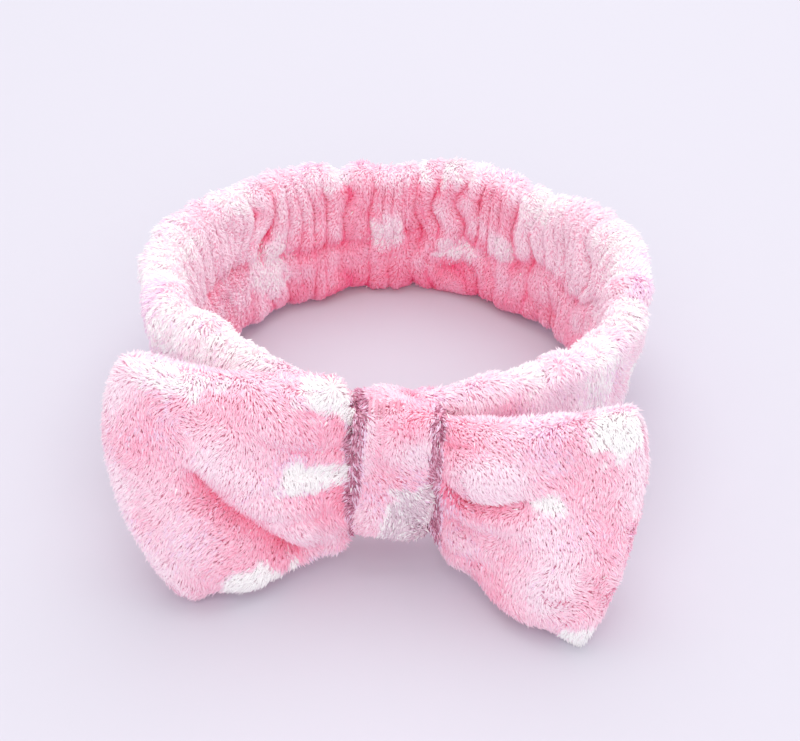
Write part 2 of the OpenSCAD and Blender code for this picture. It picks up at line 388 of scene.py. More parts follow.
def tuft_object(name, points, normals, fields, rng, seed, lean):
    """Closed, bent, three-sided tufts, pointed at both ends, each leaning the way its neighbours lie."""
    n = len(points)
    length = PILE_L * rng.uniform(0.75, 1.2, n)[:, None] * fields["length"]
    width = PILE_R * rng.uniform(0.75, 1.25, n)[:, None]
    lay = comb(points, normals, seed)
    loose = rng.normal(0, PILE_LOOSE, (n, 3))
    middle = points + unit(normals + 0.6 * lean * lay + loose) * length * 0.42
    tip = middle + unit(normals * 0.5 + lean * 1.4 * lay + loose * 1.6) * length * 0.6
    across = unit(np.cross(tip - points, rng.normal(size=(n, 3))))
    other = unit(np.cross(tip - points, across))
    ring = []
    for k in range(3):
        a = 2 * math.pi * k / 3
        ring.append(middle + width * (across * math.cos(a) + other * math.sin(a)))
    verts = np.stack([points - normals * 0.6 * MM] + ring + [tip], axis=1)
    verts = above_floor(verts, 0.1 * MM).reshape(-1, 3)
    shape = np.array([[0, 2, 1], [0, 3, 2], [0, 1, 3], [1, 2, 4], [2, 3, 4], [3, 1, 4]])
    triangles = (shape[None] + 5 * np.arange(n)[:, None, None]).reshape(-1, 3)
    obj = new_mesh(name, verts, triangles=triangles)
    root, end = pick_colours(fields["tone"][:, 0], fields["white"][:, 0], fields["lilac"][:, 0], rng)
    slots = np.repeat(root[:, None], len(shape), axis=1)
    slots[:, 3:] = end[:, None]
    for material in PILE:
        obj.data.materials.append(material)
    obj.data.polygons.foreach_set("material_index", slots.ravel().astype(np.int32))
    obj.data.update()
    return obj


def pile(name, skin, seed, keep, lean=1.0):
    """The tufts that stand on the skin, as dense as keep says at each point, from 0 to 1."""
    rng = np.random.default_rng(seed)
    points, normals, fields = scatter(skin, TUFTS_PER_MM2, rng, keep)
    return tuft_object(name, points, normals, fields, rng, seed, lean)


# ---------------------------------------------------------------- dots
def dots(along, up, places, edge, seed):
    """How white the cloth is: places are (along, up, half length, half height), in the fields' units."""
    flat = np.stack([along, up], axis=-1)
    rough = 0.16 * waves(flat, 3.5 * MM, seed) + 0.10 * waves(flat, 1.6 * MM, seed + 1)
    white = np.zeros_like(along)
    for a, u, half_a, half_u in places:
        away = np.sqrt(((along - a) / half_a) ** 2 + ((up - u) / half_u) ** 2)
        white = np.maximum(white, 1 - smooth(away + rough, 1 - edge, 1 + edge))
    return white


# ---------------------------------------------------------------- band
# White dots on the inner face, in degrees round the ring, share of the height, half sizes in mm
INNER_DOTS = (
    (133, 0.42, 11, 12), (96, 0.52, 7, 8), (75, 0.40, 10, 5), (60, 0.52, 6, 5),
    (205, 0.5, 8, 7), (235, 0.4, 8, 8), (306, 0.55, 8, 7), (335, 0.45, 7, 8),
)
# White patches along the upper rim
RIM_DOTS = (
    (143, 1.06, 12, 9), (111, 1.06, 10, 8), (77, 1.06, 15, 8), (48, 1.02, 10, 11), (10, 1.02, 24, 11),
    (178, 1.0, 26, 13), (212, 1.0, 18, 12), (232, 0.97, 17, 12), (303, 1.06, 12, 8), (325, 0.84, 11, 17),
    (345, 1.04, 14, 9),
)
# White dots on the outer face
OUTER_DOTS = (
    (185, 0.62, 9, 9), (210, 0.38, 8, 9), (238, 0.75, 9, 9), (255, 0.3, 8, 8), (285, 0.3, 8, 8),
    (305, 0.45, 7, 8), (350, 0.42, 9, 9), (12, 0.68, 8, 9), (35, 0.3, 9, 8), (58, 0.7, 8, 9),
    (85, 0.35, 9, 9), (108, 0.72, 8, 8), (133, 0.32, 9, 9), (158, 0.62, 8, 9),
)


def section(share):
    """Places round the tube's section, and the way out of the cloth there."""
    a = BAND_T / 2 - SKIN_IN
    low, high = SKIN_IN + a, BAND_H - SKIN_IN - a
    side, arc = high - low, math.pi * a
    d = share * 2 * (side + arc)
    outer = d < side
    top = (d >= side) & (d < side + arc)
    inner = (d >= side + arc) & (d < 2 * side + arc)
    w = np.where(top, (d - side) / a, (d - 2 * side - arc) / a + math.pi)
    round_x, round_z = np.cos(w), np.sin(w)
    x = np.where(outer, a, np.where(inner, -a, a * round_x))
    bend_z = np.where(top, high, low) + a * round_z
    z = np.where(outer, low + d, np.where(inner, high - (d - side - arc), bend_z))
    nx = np.where(outer, 1, np.where(inner, -1, round_x))
    nz = np.where(outer | inner, 0, round_z)
    return x, z, nx, nz


def gathered(angle):
    """How much the elastic gathers the cloth: fully at the rear, and little near the bow."""
    return 1 - 0.85 * bump(turn_gap(angle, FRONT), 0, 52)


def narrow_pleats(angle, up, warp):
    """The phase of the inner face's narrow pleats, one for each unit."""
    return angle / 360 * NARROW_PLEATS + 1.5 * warp + 0.25 * up


def pleat_warp(angle, up):
    """How the pleats wander, in shares of a pleat."""
    flat = np.stack([np.radians(angle) * (HALF_W + HALF_D) / 2, up * BAND_H], axis=-1)
    return 0.35 * round_noise(angle, 9, 3) + 0.14 * waves(flat, 12 * MM, 5)


def pleated(angle, up):
    """Where the inner face has its narrow pleats: on the upper half, and all the way down at the left end."""
    return np.maximum(smooth(up, 0.40, 0.60), bump(turn_gap(angle, 168), 0, 26))


def gathers(angle, z, nx, nz):
    """How far the gathered cloth stands out of the tube's plain shape, in metres."""
    run = np.radians(angle) * (HALF_W + HALF_D) / 2
    up = z / BAND_H
    drawn = gathered(angle)
    inner = smooth(-nx, -0.3, 0.8)
    outer = smooth(nx, -0.3, 0.8)
    rim = smooth(nz, 0.1, 0.9)
    flat = np.stack([run, z], axis=-1)
    warp = pleat_warp(angle, up)
    narrow = puff(narrow_pleats(angle, up, warp))
    wide = puff(angle / 360 * WIDE_PLEATS + 1.1 * warp + 0.9 * (up - 0.3) * round_noise(angle, 5, 8))
    upper = pleated(angle, up)
    crease_at = 0.47 + 0.05 * round_noise(angle, 8, 11)
    stand = inner * drawn * (upper * 2.3 * narrow + (1 - upper) * (1.3 * wide + 0.5 * narrow))
    stand -= inner * drawn * (1.5 + 0.9 * round_noise(angle, 6, 12)) * bump(up, crease_at, 0.05)
    stand += outer * drawn * (0.9 * puff(angle / 360 * OUTER_PLEATS + warp + 0.3 * up) + 0.7 * wide)
    stand += rim * drawn * (1.2 * narrow + 0.7 * puff(angle / 360 * RIM_PLEATS + warp))
    stand += 0.5 * waves(flat, 9 * MM, 17)
    stand += swell_at(angle, THICK_LEFT) * smooth(-nx, -0.7, 0.3) * smooth(up, 0.45, 0.9)
    return stand * MM


def band_skin():
    """The tube as one closed skin, gathered by the elastic and sagging as a soft ring does."""
    run = 2 * math.pi * (HALF_W + HALF_D) / 2
    around = 2 * (BAND_H - BAND_T) + math.pi * BAND_T
    angle, share = np.meshgrid(
        np.linspace(0, 360, int(run / GRID), endpoint=False),
        np.linspace(0, 1, int(around / GRID), endpoint=False),
        indexing="ij",
    )
    x, z, nx, nz = section(share)
    stand = gathers(angle, z, nx, nz)
    up = z / BAND_H
    loose = gathered(angle) * MM
    sway = (1.4 * round_noise(angle, 5, 21) * (up - 0.3) + 0.8 * round_noise(angle, 9, 22)) * loose
    lift = 1.3 * round_noise(angle, 7, 23) * up * loose
    sag = swell_at(angle, SAG_RIGHT) * up + swell_at(angle, SAG_FRONT) * smooth(up, 0.3, 1)
    bulge = swell_at(angle, BULGE_LEFT)
    points = ring_place(angle, x + nx * stand + sway + bulge, z + nz * stand)
    points[..., 2] += lift - sag
    points = above_floor(resting(points))
    quads = grid_faces(*angle.shape, True, True)
    return Skin(points, quads, band_fields(angle, up, nx, nz, stand, run))


def band_fields(angle, up, nx, nz, stand, run):
    """What the colours and the pile go by, at each place on the band."""
    inner = smooth(-nx, 0.0, 0.7)
    rim = smooth(nz, 0.2, 0.9)
    along = angle / 360 * run
    height = up * BAND_H
    white = np.zeros_like(angle)
    printed = ((INNER_DOTS, 0.5 * inner, 31), (RIM_DOTS, 0.66, 33), (OUTER_DOTS, 1 - inner, 35))
    for places, where, seed in printed:
        spots = [(a / 360 * run, u * BAND_H, la * MM, lu * MM) for a, u, la, lu in places]
        white = np.maximum(white, where * dots(along, height, spots, 0.42, seed))
    around = np.stack([np.cos(np.radians(angle)), np.sin(np.radians(angle)), up * 0.6], axis=-1) * HALF_W
    cloudy = waves(around, 13 * MM, 41)
    far_wall = inner * bump(turn_gap(angle, 88), 0, 43)
    low = 1 - smooth(up, 0, 0.4)
    # Painted shade inside the ring: deeper on the far wall, low down and at the crease round the wall's
    # middle; painted light on the rim's top, which is paler
    tone = 0.17 + 0.10 * cloudy + 0.42 * far_wall - 0.16 * rim
    tone = tone + (0.12 + 0.34 * low + 0.26 * bump(up, 0.47, 0.1)) * inner
    # Painted shade in the pleats' valleys: deeper there
    valley = (1 - np.abs(np.sin(math.pi * narrow_pleats(angle, up, pleat_warp(angle, up))))) ** 2.5
    depth = 0.35 + 0.65 * smooth(round_noise(angle, 14, 51), -0.4, 0.9)
    narrow = 1.3 * pleated(angle, up) + 0.4
    tone = tone + inner * gathered(angle) * valley * depth * narrow * (1 - 0.8 * rim)
    tone = tone - inner * (0.03 + 0.09 * pleated(angle, up)) * gathered(angle)
    tone = tone + 0.07 * inner * waves(around, 5 * MM, 45)
    # Painted shade low down at the ring's two ends; painted light, paler, on whatever stands out; paler in
    # the dots
    ends = np.maximum(bump(turn_gap(angle, 352), 0, 15), bump(turn_gap(angle, 182), 0, 12))
    tone = tone + 0.40 * inner * ends * (1 - smooth(up, 0.25, 0.6))
    tone = tone - (0.07 + 0.03 * inner) * stand / MM - 0.9 * inner * white
    # Paler at the two ends outside, and painted light high on the inner walls near the ends
    side = np.maximum(bump(turn_gap(angle, LEFT_END), 0, 40), bump(turn_gap(angle, RIGHT_END), 0, 45))
    tone = tone - 0.12 * side * (1 - 0.7 * inner)
    pale = swell_at(angle, PAINTED_LIGHT_RIGHT) + swell_at(angle, PAINTED_LIGHT_LEFT)
    tone = tone - inner * pale * smooth(up, 0.2, 0.5)
    lilac = 0.33 + 0.26 * waves(around, 15 * MM, 43) + 0.22 * side * (1 - inner) - 0.7 * inner
    return {
        "tone": np.clip(tone, 0, 1.2),
        "white": white,
        "lilac": lilac,
        "angle": angle,
        "inner": inner,
        "rim": rim,
        "hem": smooth(-nz, 0.2, 0.9),
        "length": 1 + 0.15 * rim - 0.38 * inner,
    }


def blend_band(piece):
    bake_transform(piece)


def band():
    skin = band_skin()
    tube = cloth_object("band_fleece", skin)
    tube.data.materials.append(fleece("band_fleece_cloth", 0.5))
    angle = skin.fields["angle"][:, 0]
    bare = (np.abs(turn_gap(angle, FRONT)) > BARE_ANGLE).astype(float)
    edge = ((skin.fields["rim"][:, 0] > 0.5) | (skin.fields["hem"][:, 0] > 0.5)).astype(float)
    lining = (skin.fields["inner"][:, 0] > 0.5) * (1 - edge)
    faces = {"outer": (1 - lining) * (1 - edge), "lining": lining, "edges": edge}
    quarters = ("rear_right", "rear_left", "front_left", "front_right")
    piles = []
    for k, quarter in enumerate(quarters):
        here = ((angle >= 90 * k) & (angle < 90 * (k + 1))) * bare
        for m, (face, share) in enumerate(faces.items()):
            piles.append(pile(f"band_pile_{quarter}_{face}", skin, 101 + 3 * k + m, here * share))
    for piece in [tube] + piles:
        blend_band(piece)
    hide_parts("band_front_outer", "band_front_seam", "band_rear_outer", "band_rear_seam")
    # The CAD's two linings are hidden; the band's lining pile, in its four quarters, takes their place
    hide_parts("band_rear_lining")
    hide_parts("band_front_lining")


# ---------------------------------------------------------------- elastic
def elastic():
    """Woven elastic: a flat strip, ribbed across, whose cords run along it."""
    steps = 260
    angle = np.linspace(-ELASTIC_REACH, 180 + ELASTIC_REACH, steps)
    cords = 12
    edge = np.linspace(0, 1, cords * 4 + 1)
    rib = 0.12 * MM * np.abs(np.sin(math.pi * edge * cords))
    x = np.concatenate([ELASTIC_T / 2 - 0.12 * MM + rib, (-ELASTIC_T / 2 + 0.12 * MM - rib)[::-1]])
    z = ELASTIC_Z + ELASTIC_W * np.concatenate([edge, edge[::-1]])
    a, k = np.meshgrid(angle, np.arange(len(x)), indexing="ij")
    points = resting(ring_place(a, x[k], z[k]))
    quads = grid_faces(*a.shape, False, True)
    obj = new_mesh("elastic", points.reshape(-1, 3), quads=quads)
    close_ends(obj)
    obj.data.materials.append(woven("elastic_woven"))
    blend_band(obj)
    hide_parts("elastic_band")


def close_ends(obj):
    """Fills the holes of a mesh and turns its faces outward."""
    mesh = bmesh.new()
    mesh.from_mesh(obj.data)
    bmesh.ops.holes_fill(mesh, edges=[e for e in mesh.edges if e.is_boundary], sides=0)
    bmesh.ops.triangulate(mesh, faces=[f for f in mesh.faces if len(f.verts) > 4])
    bmesh.ops.recalc_face_normals(mesh, faces=mesh.faces)
    mesh.to_mesh(obj.data)
    mesh.free()


# ---------------------------------------------------------------- loops
def bend(a, b, c, t):
    """A curve from a to c, drawn towards b. The points are in mm."""
    a, b, c = (np.array(p, float) * MM for p in (a, b, c))
    t = t[..., None]
    return (1 - t) ** 2 * a + 2 * t * (1 - t) * b + t * t * c


def loop_place(outline, u, v):
    """Distance out from the hinge and height, at a share u outward and v upward."""
    low = bend(outline.low_in, outline.low_bend, outline.low_out, u)
    high = bend(outline.top_in, outline.top_bend, outline.top_out, u)
    end = bend(outline.low_out, outline.end_bend, outline.top_out, v)
    v1 = v[..., None]
    straight = (1 - v1) * np.array(outline.low_out) * MM + v1 * np.array(outline.top_out) * MM
    return (1 - v1) * low + v1 * high + u[..., None] * (end - straight)


def loop_surface(outline, side, u, turn, folds):
    """Points of a loop. Turn goes once round its section: 0 is the low edge and 0.25 is the front."""
    w = 2 * math.pi * turn
    v = (1 - np.cos(w)) / 2
    out = np.clip(u, 0, 1)
    p = loop_place(outline, out, v - np.where(np.sin(w) > 0, folds(out, v, 0), 0))
    # The pile stands outside the cloth, so the cloth is drawn in a little towards the loop's heart
    heart = np.array([0.55 * outline.top_out[0], (outline.top_in[1] + outline.low_in[1]) / 2]) * MM
    p = p - (p - heart) * (0.045 * smooth(out, 0.1, 0.6))[..., None]
    inward = np.clip(-u, 0, None)
    x = p[..., 0] - inward * LOOP_ROOT / ROOT_SHARE
    clear = HINGE_X + x - (KNOT_W / 2 + side * KNOT_ASIDE)
    rise = smooth(clear, -1.5 * MM, 7 * MM)
    squeeze = 1 - smooth(clear, -2 * MM, 5 * MM)
    tall = BOW_Z - 23 * MM + v * 42 * MM
    z = p[..., 1] * (1 - squeeze) + tall * squeeze
    slope = outline.top_slope + (outline.low_slope - outline.top_slope) * (1 - v) ** 2
    swell = LOOP_HALF_IN + (LOOP_FULL - SKIN_IN - LOOP_HALF_IN) * np.sin(math.pi / 2 * out) ** 0.8
    full = LOOP_RIM + (swell - LOOP_RIM) * np.abs(np.sin(w)) ** 0.85 * np.sqrt(np.clip(1 - out**6, 0, 1))
    shoulder = np.where(np.sin(w) > 0, 3.2, 0.4) * MM * bump(out, 0.06, 0.18) * np.abs(np.sin(w)) ** 0.7
    pinched = 2.2 * MM * np.abs(np.sin(w)) ** 0.85
    full = pinched + (full + shoulder - pinched) * rise
    full = full * np.where(u >= 1, 0, 1) * np.minimum(1, np.abs(np.sin(w)) * 6 + 0.15)
    front = np.sin(w) >= 0
    folded = np.where(front, folds(out, v, 1), folds(out, v, -1))
    full = full + folded * np.minimum(1, np.abs(np.sin(w)) * 2.5)
    belly = 7 * MM * bump(out, 0.45, 0.3) * (1 - v) ** 2
    y = -p[..., 0] * slope - belly + np.where(front, -1, 1) * full
    return np.stack([x, y, z], axis=-1), v, front, rise


def line_away(u, v, start, end):
    """Distance from a line drawn on the loop, and how far along it, both in shares."""
    du, dv = end[0] - start[0], end[1] - start[1]
    t = np.clip(((u - start[0]) * du + (v - start[1]) * dv) / (du * du + dv * dv), 0, 1)
    return np.hypot(u - start[0] - t * du, v - start[1] - t * dv), t


def pinch_folds(u, v, seed, count):
    """Pleats that fan out from the knot and fade outward."""
    fan = v * count + 0.5 * np.sin(5 * v + seed) + 0.3 * waves(np.stack([u, v], axis=-1), 0.5, seed)
    return 1.5 * MM * puff(fan) * np.exp(-((u / 0.30) ** 1.5)) * smooth(u, -0.05, 0.05)


def left_folds(u, v, side):
    """How far the cloth stands out, on the front (1) or the back (-1), or hangs down over a fold (0)."""
    if side == 0:
        return 0 * v
    away, t = line_away(u, v, (0.58, 0.56), (0.16, 0.10))
    second, t2 = line_away(u, v, (0.0, 0.62), (0.42, 0.72))
    stand = pinch_folds(u, v, 3 + side, 4.5)
    soft = 1.2 * MM * waves(np.stack([u, v], axis=-1), 0.30, 9 + side)
    if side > 0:
        stand = stand - 5.2 * MM * np.exp(-((away / 0.06) ** 2)) * (1 - 0.3 * t)
        ridge, _ = line_away(u, v, (0.50, 0.66), (0.10, 0.26))
        stand = stand + 2.6 * MM * np.exp(-((ridge / 0.11) ** 2))
        stand = stand - 3.5 * MM * np.exp(-((second / 0.07) ** 2)) * (1 - t2) * smooth(u, 0, 0.1)
        stand = stand + 1.6 * MM * bump(u, 0.55, 0.25) * bump(v, 0.82, 0.2)
    return stand + soft * smooth(u, 0, 0.2) * (1 - smooth(u, 0.9, 1))


def right_folds(u, v, side):
    """The same for the right loop, whose cloth hangs over its main fold."""
    if side == 0:
        return 0.085 * bump(v, 0.72, 0.06) * (1 - smooth(u, 0.2, 0.6)) * smooth(u, 0, 0.1)
    away, t = line_away(u, v, (0.02, 0.645), (0.50, 0.60))
    second, t2 = line_away(u, v, (0.0, 0.42), (0.30, 0.31))
    stand = pinch_folds(u, v, 6 + side, 4.0)
    soft = 1.2 * MM * waves(np.stack([u, v], axis=-1), 0.28, 14 + side)
    if side > 0:
        stand = stand - 13.0 * MM * np.exp(-((away / 0.055) ** 2)) * (1 - 0.85 * t) * smooth(u, 0, 0.08)
        stand = stand - 4.0 * MM * np.exp(-((second / 0.06) ** 2)) * (1 - t2) * smooth(u, 0, 0.1)
        stand = stand + 4.5 * MM * bump(u, 0.22, 0.22) * bump(v, 0.80, 0.12)
        stand = stand + 2.6 * MM * bump(u, 0.2, 0.2) * bump(v, 0.51, 0.09)
    return stand + soft * smooth(u, 0, 0.2) * (1 - smooth(u, 0.9, 1))


# White dots on the loops' fronts: share outward, share upward, half sizes in mm
LEFT_DOTS = (
    (0.08, 0.545, 8, 6), (0.45, 0.02, 13, 7), (0.74, 1.02, 15, 6), (-0.02, 1.0, 8, 9),
)
RIGHT_DOTS = ((0.52, 0.63, 6, 4), (0.90, 0.97, 9, 8), (0.97, 0.02, 8, 6))
BACK_DOTS = ((0.25, 0.7, 8, 8), (0.55, 0.3, 9, 8), (0.8, 0.75, 8, 8), (0.15, 0.15, 7, 7))


def loop_skin(outline, side, folds, places, seed):
    """A loop's closed skin, and what its colours and pile go by. Side is -1 for left and 1 for right."""
    columns = int(150 * MM / GRID)
    rows = int(78 * MM / GRID)
    t = np.linspace(0, 1, rows)
    root = np.linspace(-ROOT_SHARE, 0, int(LOOP_ROOT / GRID) + 2)[:-1]
    u = np.concatenate([root, 1 - (1 - t) ** 1.35, [1.0]])
    turn = np.linspace(0, 1, columns, endpoint=False)
    ease = turn - 0.28 * np.sin(4 * math.pi * turn) / (4 * math.pi)
    u, turn = np.meshgrid(u, ease, indexing="ij")
    u[-1] = 1.0
    points, v, front, rise = loop_surface(outline, side, u, turn, folds)
    flat_end = points.copy()
    points[-1] = flat_end[-1] * 0.5 + np.roll(flat_end[-1][::-1], 1, axis=0) * 0.5
    points[..., 0] = side * (HINGE_X + points[..., 0])
    points[..., 1] += BOW_Y
    points = above_floor(resting(points))
    quads = grid_faces(*u.shape, False, True)
    out = np.clip(u, 0, 1)
    along, up = out * LOOP_W, v * LOOP_H
    front_white, back_white = (
        dots(along, up, [(a * LOOP_W, b * LOOP_H, c * MM, d * MM) for a, b, c, d in spots], 0.32, seed)
        for spots in (places, BACK_DOTS)
    )
    if side < 0:
        front_white = front_white * (1 - 0.4 * smooth(out, 0.35, 0.55) * smooth(v, 0.75, 0.9))
    edge = 1 - np.abs(np.sin(2 * math.pi * turn))
    stand = np.where(front, folds(out, v, 1), folds(out, v, -1)) / MM
    cloudy = waves(points, 14 * MM, seed + 3)
    border = np.maximum(smooth(edge, 0.5, 1), smooth(out, 0.85, 1))
    # Painted shade: deeper in the folds and beside the knot, where it pinches the cloth; painted light: paler
    # along the border
    tone = (0.31 if side > 0 else 0.33) + 0.10 * cloudy - 0.065 * stand - 0.20 * border
    tone = tone + 0.10 * bump(out, 0, 0.25) + 0.3 * (1 - rise)
    # Painted shade under the right loop's hanging fold, on its front
    if side > 0:
        tone = tone + 0.4 * front * bump(v, 0.57, 0.06) * (1 - smooth(out, 0.25, 0.55))
    # Beside the knot the lilac field is SHADED, which stands for painted shade
    lilac = 0.25 + 0.22 * waves(points, 18 * MM, seed + 5) + 0.15 * smooth(out, 0.6, 1)
    return Skin(points, quads, {
        "tone": np.clip(tone, 0, 1.2),
        "white": np.where(front, front_white, back_white),
        "lilac": np.where(rise < 0.35, SHADED, lilac),
        "clear": side * points[..., 0] - KNOT_W / 2 - side * KNOT_ASIDE,
        "front": front.astype(float),
        "length": 1 + 0.1 * smooth(edge, 0.5, 1),
    })


def puffed(skin):
    """The loop's cloth pressed outward from inside, by cloth simulation, with its knotted end held."""
    # The solver stops on edges of no length, which the flat outer seam has
    rng = np.random.default_rng(11)
    begun = skin.points + rng.normal(0, 0.02 * MM, skin.points.shape)
    obj = new_mesh("puffing", begun, quads=skin.quads)
    held = obj.vertex_groups.new(name="held")
    held.add(np.flatnonzero(skin.fields["clear"][:, 0] < PUFF_HELD).tolist(), 1.0, "REPLACE")
    cloth = obj.modifiers.new("Cloth", "CLOTH")
    settings = cloth.settings
    settings.quality = 5
    settings.mass = 0.0004
    settings.tension_stiffness = settings.compression_stiffness = 6
    settings.shear_stiffness = 3
    settings.bending_stiffness = 0.05
    settings.use_pressure = True
    settings.uniform_pressure_force = PUFF_PRESSURE
    settings.vertex_group_mass = "held"
    settings.effector_weights.gravity = 0
    cloth.point_cache.frame_start, cloth.point_cache.frame_end = 1, PUFF_FRAMES
    moved = np.zeros(len(skin.points) * 3, np.float32)
    for step in range(1, PUFF_FRAMES + 1):
        bpy.context.scene.frame_set(step)
        shaped = obj.evaluated_get(bpy.context.evaluated_depsgraph_get()).data
        shaped.vertices.foreach_get("co", moved)
    move = moved.reshape(-1, 3) - begun
    far = np.linalg.norm(move, axis=1, keepdims=True)
    move = move * np.minimum(1, PUFF_MOST / np.maximum(far, 1e-9))
    bpy.context.scene.frame_set(1)
    bpy.data.objects.remove(obj)
    return Skin(above_floor(skin.points + move), skin.quads, skin.fields)


def loop(name, outline, side, folds, places, seed, nodes):
    skin = puffed(loop_skin(outline, side, folds, places, seed))
    pillow = cloth_object(f"{name}_fleece", skin, inside=False)
    close_ends(pillow)
    pillow.data.materials.append(fleece(f"{name}_cloth", 0.4))
    shown = (skin.fields["clear"][:, 0] > -2 * MM).astype(float)
    front = (skin.fields["front"][:, 0] > 0.5).astype(float)
    furs = [
        pile(f"{name}_pile_front", skin, seed + 50, shown * front),
        pile(f"{name}_pile_back", skin, seed + 51, shown * (1 - front)),
    ]
    for piece in [pillow] + furs:
        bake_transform(piece)
    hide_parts(*nodes)


def loops():
    loop("left_loop", LEFT_LOOP, -1, left_folds, LEFT_DOTS, 201,
         ("left_loop_front", "left_loop_back", "left_loop_seam"))
    loop("right_loop", RIGHT_LOOP, 1, right_folds, RIGHT_DOTS, 301,
         ("right_loop_front", "right_loop_back", "right_loop_seam"))


def bow_middle():
    """The middle of the bow, gathered into pleats, under the knot."""
    rows, columns = int(46 * MM / GRID), int(110 * MM / GRID)
    turns = np.linspace(0, 1, columns, endpoint=False)
    across, turn = np.meshgrid(np.linspace(-1, 1, rows), turns, indexing="ij")
    w = 2 * math.pi * turn
    z = BOW_Z + (PINCH_H / 2 - 3 * MM) * np.cos(w)
    pleat = 0.45 * MM * puff((z - BOW_Z) / (5 * MM) + 0.3 * np.sin(3 * across))
    thick = (1.7 * MM + pleat) * np.sign(np.sin(w)) * np.abs(np.sin(w)) ** 0.5
    x = across * (HINGE_X - 2.5 * MM)
    points = resting(np.stack([x, BOW_Y + thick, z], axis=-1))
    # Painted shade: paler on the pleats' ridges and deeper between them
    skin = Skin(points, grid_faces(rows, columns, False, True), {
        "tone": 0.6 - 0.2 * pleat / MM, "white": 0 * across, "lilac": 0 * across,
    })
    middle = cloth_object("bow_middle_fleece", skin, inside=False)
    close_ends(middle)
    middle.data.materials.append(fleece("bow_middle_cloth", 0.6))
    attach(middle, "front")
    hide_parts("bow_centre")


# ---------------------------------------------------------------- knot
KNOT_DOTS = ((8, -16, 8, 11), (6, 78, 8, 8), (-6, -60, 8, 7))


def rounded(share, half_h, low_y, high_y, r):
    """Places round a rounded rectangle, from the middle of the front, going up. Also the way out."""
    tall, deep = 2 * (half_h - r), (high_y - low_y) - 2 * r
    arc = math.pi / 2 * r
    total = 2 * tall + 2 * deep + 4 * arc
    d = (share % 1) * total
    y, z, ny, nz = (np.zeros_like(d) for _ in range(4))
    pieces = (
        (tall / 2, None, (low_y, 0), (0, 1), (-1, 0)),
        (arc, (low_y + r, half_h - r, 180, 90), None, None, None),
        (deep, None, (low_y + r, half_h), (1, 0), (0, 1)),
        (arc, (high_y - r, half_h - r, 90, 0), None, None, None),
        (tall, None, (high_y, half_h - r), (0, -1), (1, 0)),
        (arc, (high_y - r, -half_h + r, 0, -90), None, None, None),
        (deep, None, (high_y - r, -half_h), (-1, 0), (0, -1)),
        (arc, (low_y + r, -half_h + r, -90, -180), None, None, None),
        (tall / 2, None, (low_y, -half_h + r), (0, 1), (-1, 0)),
    )
    begun = 0
    for length, corner, start, way, face in pieces:
        here = (d >= begun) & (d <= begun + length + 1e-9)
        t = (d - begun) / max(length, 1e-9)
        if corner:
            w = np.radians(corner[2] + (corner[3] - corner[2]) * t)
            py, pz, qy, qz = corner[0] + r * np.cos(w), corner[1] + r * np.sin(w), np.cos(w), np.sin(w)
        else:
            py, pz = start[0] + way[0] * t * length, start[1] + way[1] * t * length
            qy, qz = face[0] + 0 * t, face[1] + 0 * t
        y, z = np.where(here, py, y), np.where(here, pz, z)
        ny, nz = np.where(here, qy, ny), np.where(here, qz, nz)
        begun += length
    return y, z, ny, nz, d, total


def knot_skin():
    """The knot's strip, with its two long edges rolled in. Round goes along it, turn round its section."""
    rows, columns = int(160 * MM / GRID), int(60 * MM / GRID)
    around, turn = np.meshgrid(
        np.linspace(0, 1, rows, endpoint=False), np.linspace(0, 1, columns, endpoint=False), indexing="ij"
    )
    front_y = KNOT_FRONT_Y + 0.8 * MM
    y, z, ny, nz, d, total = rounded(around, KNOT_HALF_H - 1 * MM, front_y, KNOT_BACK_Y, 4.5 * MM)
    w = 2 * math.pi * turn
    wide = KNOT_W / 2 - 0.6 * MM
    flat = np.sign(np.cos(w)) * np.abs(np.cos(w)) ** 0.55
    thick = np.sign(np.sin(w)) * np.abs(np.sin(w)) ** 0.8
    wander = 0.7 * MM * np.sin(2 * math.pi * around * 3 + 1) + 0.5 * MM * np.sin(2 * math.pi * around * 7)
    x = flat * (wide + 0.6 * wander) + 0.4 * wander
    folds = 0.7 * MM * waves(np.stack([x * 2.2, d], axis=-1), 12 * MM, 71)
    crown = 1.1 * MM * (1 - (x / wide) ** 2) + folds
    out = np.where(thick > 0, (KNOT_WALL - SKIN_IN) * thick + crown * thick, 0.4 * MM * (1 + thick))
    y, z = y + ny * out, z + nz * out
    back = smooth(y, KNOT_FRONT_Y, KNOT_BACK_Y)
    z = z - (4.0 + 3.5 * back) * MM * smooth(z, 0, KNOT_HALF_H)
    c, s = math.cos(KNOT_ROLL), math.sin(KNOT_ROLL)
    points = resting(np.stack([KNOT_ASIDE + x * c + z * s, y, BOW_Z - x * s + z * c], axis=-1))
    quads = grid_faces(rows, columns, True, True)
    strip = np.where(d > total / 2, d - total, d)
    white = dots(x, strip, [tuple(k * MM for k in place) for place in KNOT_DOTS], 0.22, 73)
    # Painted shade: paler where the folds stand out, deeper between them and at the strip's rolled edges
    tone = 0.25 + 0.13 * waves(points, 9 * MM, 75) - 0.05 * folds / MM
    tone = tone + 0.25 * smooth(np.abs(x) / wide, 0.8, 1)
    return Skin(above_floor(points), quads, {
        "tone": np.clip(tone, 0, 1.2),
        # Painted shade: on the knot's front the white field is raised, so most white tufts there go grey; the
        # strip's edges take the SHADED lilac
        "white": np.where(y < BOW_Y, 2.5, 1) * white,
        "lilac": np.where(np.abs(x) > wide * 0.8, SHADED, 0.30 + 0.2 * waves(points, 12 * MM, 77)),
        "outside": (thick > -0.2).astype(float),
        "length": 0.85 + 0 * tone,
    })


